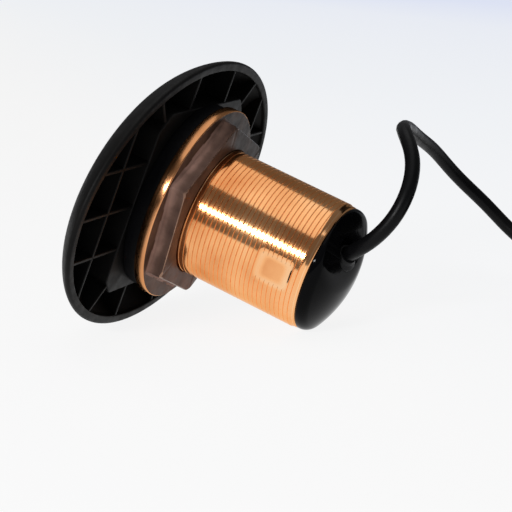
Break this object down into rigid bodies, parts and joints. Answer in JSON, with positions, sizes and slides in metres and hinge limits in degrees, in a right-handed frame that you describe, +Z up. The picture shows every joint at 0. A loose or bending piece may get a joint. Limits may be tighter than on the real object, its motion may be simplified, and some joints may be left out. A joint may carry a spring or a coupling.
{
  "type": "sonar transducer",
  "caption": "Through-hull sonar transducer: threaded bronze stem with hull nut, oval ribbed fairing with a flat acoustic face, domed end cap and a coiled cable with a round connector.",
  "frame": {"origin": "on the table under the middle of the transducer's length, with the cable left out", "axes": "+X along the table from the fairing to the end cap, +Y along the fairing's length, +Z up"},
  "size_m": [0.2992, 0.2256, 0.113],
  "materials": {
    "moulded_plastic": "moulded",
    "window_urethane": "moulded",
    "bronze_turned": "turned",
    "seal_rubber": "moulded",
    "collar_plastic": "moulded",
    "bronze_cast": "cast and machined",
    "epoxy_layer": "cast",
    "ceramic": "sintered",
    "cork_sleeve": "cut",
    "cork_backing": "cut",
    "sensor_bead": "dipped",
    "potting": "cast",
    "copper_winding": "enamelled",
    "board": "solder mask",
    "wire_jacket": "extruded",
    "gloss_cap": "gloss",
    "grommet_rubber": "moulded",
    "cable_jacket": "extruded",
    "tie_plastic": "moulded",
    "boot_rubber": "moulded",
    "connector_plastic": "moulded",
    "insert_plastic": "moulded",
    "contact_gold": "plated"
  },
  "bodies": {
    "root": {"fairing": "moulded_plastic", "acoustic_window": "window_urethane", "stem_housing": "bronze_turned", "foot_gasket": "seal_rubber", "sealing_washer": "collar_plastic", "hull_nut": "bronze_cast", "matching_layer": "epoxy_layer", "ceramic_disc": "ceramic", "element_sleeve": "cork_sleeve", "backing_disc": "cork_backing", "thermistor": "sensor_bead", "potting_fill": "potting", "tuning_coil": "copper_winding", "id_board": "board", "lead_wires": "wire_jacket", "end_cap": "gloss_cap", "cap_o_ring": "seal_rubber", "cable_grommet": "grommet_rubber", "cable": "cable_jacket", "cable_coil": "cable_jacket", "cable_tail": "cable_jacket", "coil_ties": "tie_plastic", "connector_boot": "boot_rubber", "connector_body": "connector_plastic", "connector_insert": "insert_plastic", "connector_contacts": "contact_gold", "connector_seal": "seal_rubber", "coupling_ring": "connector_plastic"}
  },
  "joints": []
}
